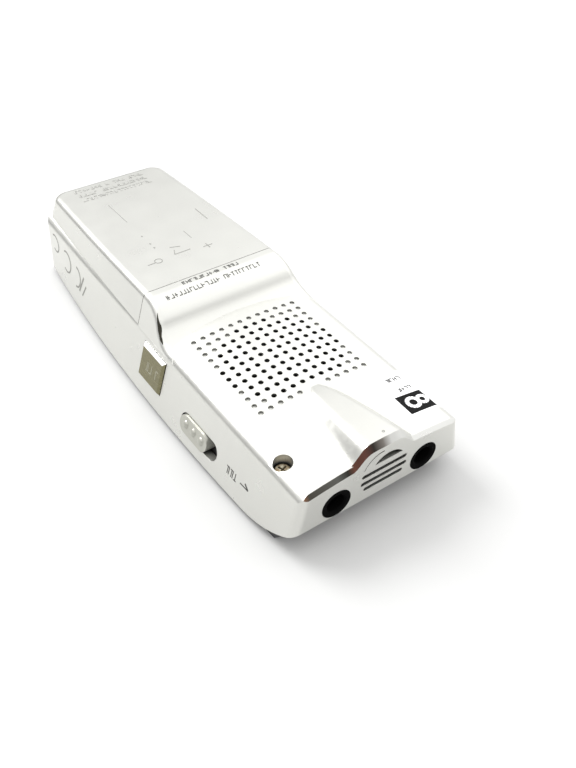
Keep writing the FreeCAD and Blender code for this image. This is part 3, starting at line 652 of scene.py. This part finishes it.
def key_icons(materials):
    """Generic symbols printed on the front keys."""
    x, y = front_keys["key_play"]
    icons = {"key_play": [strip((x - 1.2, y - 1.3), (x - 1.2, y + 1.3), 0.5),
                          strip((x + 0.2, y - 0.9), (x + 1.6, y), 0.45),
                          strip((x + 0.2, y + 0.9), (x + 1.6, y), 0.45)]}
    icons["key_record"] = arc_strips(front_keys["key_record"], 0.9, 0.45, 0, 360, 18)
    x, y = front_keys["key_stop"]
    icons["key_stop"] = [strip((x - 0.9, y), (x + 0.9, y), 1.8)]
    x, y = front_keys["key_plus"]
    icons["key_plus"] = [strip((x - 0.9, y), (x + 0.9, y), 0.4),
                         strip((x, y - 0.9), (x, y + 0.9), 0.4)]
    x, y = front_keys["key_minus"]
    icons["key_minus"] = [strip((x - 0.9, y), (x + 0.9, y), 0.4)]
    for name, way in (("key_rewind", -1), ("key_forward", 1)):
        x, y = front_keys[name]
        icons[name] = [strip((x - way * 0.9, y + s * 0.9), (x + way * 0.3, y), 0.4) for s in (-1, 1)]
        icons[name] += [strip((x, y + s * 0.9), (x + way * 1.2, y), 0.4) for s in (-1, 1)]
    x, y = front_keys["key_folder"]
    icons["key_folder"] = [strip((x - 1.5, y + s * 0.8), (x + 1.5, y + s * 0.8), 0.3) for s in (-1, 1)]
    icons["key_folder"] += [strip((x + s * 1.5, y - 0.8), (x + s * 1.5, y + 0.8), 0.3) for s in (-1, 1)]
    x, y = front_keys["key_erase"]
    icons["key_erase"] = [strip((x - 0.8, y - s * 0.8), (x + 0.8, y + s * 0.8), 0.35) for s in (1, -1)]
    for name, shapes in icons.items():
        face = Surface(name, (0, 0, 1))
        color = materials["paper"] if name == "key_record" else materials["black_ink"]
        laid_piece(name + "_icon", face, shapes, color, name, mark_lift)


# ---- stage -------------------------------------------------------------------------------------

def floor():
    """A pale table top under the object."""
    made = bmesh.new()
    bmesh.ops.create_circle(made, cap_ends=True, segments=96, radius=table_radius_m)
    mesh = bpy.data.meshes.new("floor")
    made.to_mesh(mesh)
    made.free()
    shader = Shader("floor_white", (0.60, 0.60, 0.595), 0.6)
    shader.bump(shader.noise(8, 3), 0.01)
    mesh.materials.append(shader.material)
    piece = bpy.data.objects.new("floor", mesh)
    piece.location = mm(0, 0, -table_drop)
    bpy.context.scene.collection.objects.link(piece)


def lamp():
    """A round lamp behind and above the object."""
    data = bpy.data.lights.new("key_light", "AREA")
    data.shape = "DISK"
    data.size = lamp_size_m
    data.energy = lamp_power
    light = bpy.data.objects.new("key_light", data)
    light.location = mm(*lamp_place)
    light.rotation_mode = "QUATERNION"
    light.rotation_quaternion = (mm(*lamp_target) - light.location).to_track_quat("-Z", "Y")
    bpy.context.scene.collection.objects.link(light)


def world_light():
    """A white room, brightest overhead, dim at the horizon and lighter on one side."""
    world = bpy.data.worlds.new("room")
    world.use_nodes = True
    tree = world.node_tree
    place = tree.nodes.new("ShaderNodeTexCoord").outputs["Generated"]
    split = tree.nodes.new("ShaderNodeSeparateXYZ")
    tree.links.new(place, split.inputs["Vector"])
    both = tree.nodes.new("ShaderNodeMath")
    both.operation = "ADD"
    tree.links.new(light_curve(tree, split.outputs["Z"], room_levels), both.inputs[0])
    tree.links.new(light_curve(tree, split.outputs["X"], window_levels), both.inputs[1])
    background = tree.nodes["Background"]
    background.inputs["Strength"].default_value = room_strength
    tree.links.new(both.outputs["Value"], background.inputs["Color"])
    bpy.context.scene.world = world


def light_curve(tree, value, levels):
    """Grey levels from (position, brightness) pairs, smoothly joined."""
    ramp = tree.nodes.new("ShaderNodeValToRGB")
    ramp.color_ramp.interpolation = "EASE"
    fill_ramp(ramp.color_ramp, [(position, (level, level, level)) for position, level in levels])
    tree.links.new(value, ramp.inputs["Fac"])
    return ramp.outputs["Color"]


def camera():
    """The camera, turned a little about its own axis."""
    data = bpy.data.cameras.new("camera")
    data.lens = camera_lens
    data.clip_start = 0.005
    data.clip_end = 10
    made = bpy.data.objects.new("camera", data)
    made.location = mm(*camera_place)
    aim = (mm(*camera_target) - made.location).to_track_quat("-Z", "Y")
    made.rotation_mode = "QUATERNION"
    made.rotation_quaternion = aim @ Matrix.Rotation(math.radians(camera_roll), 4, "Z").to_quaternion()
    bpy.context.scene.collection.objects.link(made)
    bpy.context.scene.camera = made


# ---- build -------------------------------------------------------------------------------------

def dress_frame(materials):
    """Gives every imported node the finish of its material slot."""
    slots = {row["node"]: row["material_slot"] for row in frame["record"]["subparts"]}
    for name, node in nodes.items():
        node.data.materials.clear()
        node.data.materials.append(materials[slots[name]])
    # the rear case's paint, with a painted reflection on its end bevel
    reflecting_paint = silver_paint("silver_paint_end_reflection", paints_end_reflection=True)
    nodes["rear_case"].data.materials[0] = reflecting_paint
    nodes["battery_cover"].data.materials[0] = silver_paint("silver_paint_cover", cover_level)


finishes = make_materials()
dress_frame(finishes)
finishes["grey_ink"] = ink("grey_ink", (0.07, 0.07, 0.065))
finishes["pale_ink"] = ink("pale_ink", (0.30, 0.30, 0.28))
finishes["black_ink"] = ink("black_ink", (0.004, 0.004, 0.004))
# dark ink for the painted reflection at the ramp's left edge
finishes["edge_reflection_ink"] = ink("edge_reflection_ink", (0.035, 0.033, 0.025), 0.3)
finishes["key_shadow"] = ink("key_shadow", (0.30, 0.29, 0.22), 0.3)
finishes["paper"] = paper_label()

back_surface = Surface("rear_case", (0, 0, -1))
cover_surface = Surface("battery_cover", (0, 0, -1))
side_surface = Surface("rear_case", (1, 0, 0))
back_prints(back_surface, finishes)
cover_marks(cover_surface, finishes)
gate_mark(back_surface, finishes)
ramp_edge_painted_reflection(side_surface, finishes)
side_marks(side_surface, finishes)
corner_label(Surface("rear_case", (0, 0, -1), section_y=-37.5), finishes)
side_key_marks(Surface("side_key", (1, 0, 0)), finishes)
key_icons(finishes)
display_marks(finishes)

floor()
world_light()
lamp()
camera()
bpy.context.scene.view_settings.view_transform = "Standard"
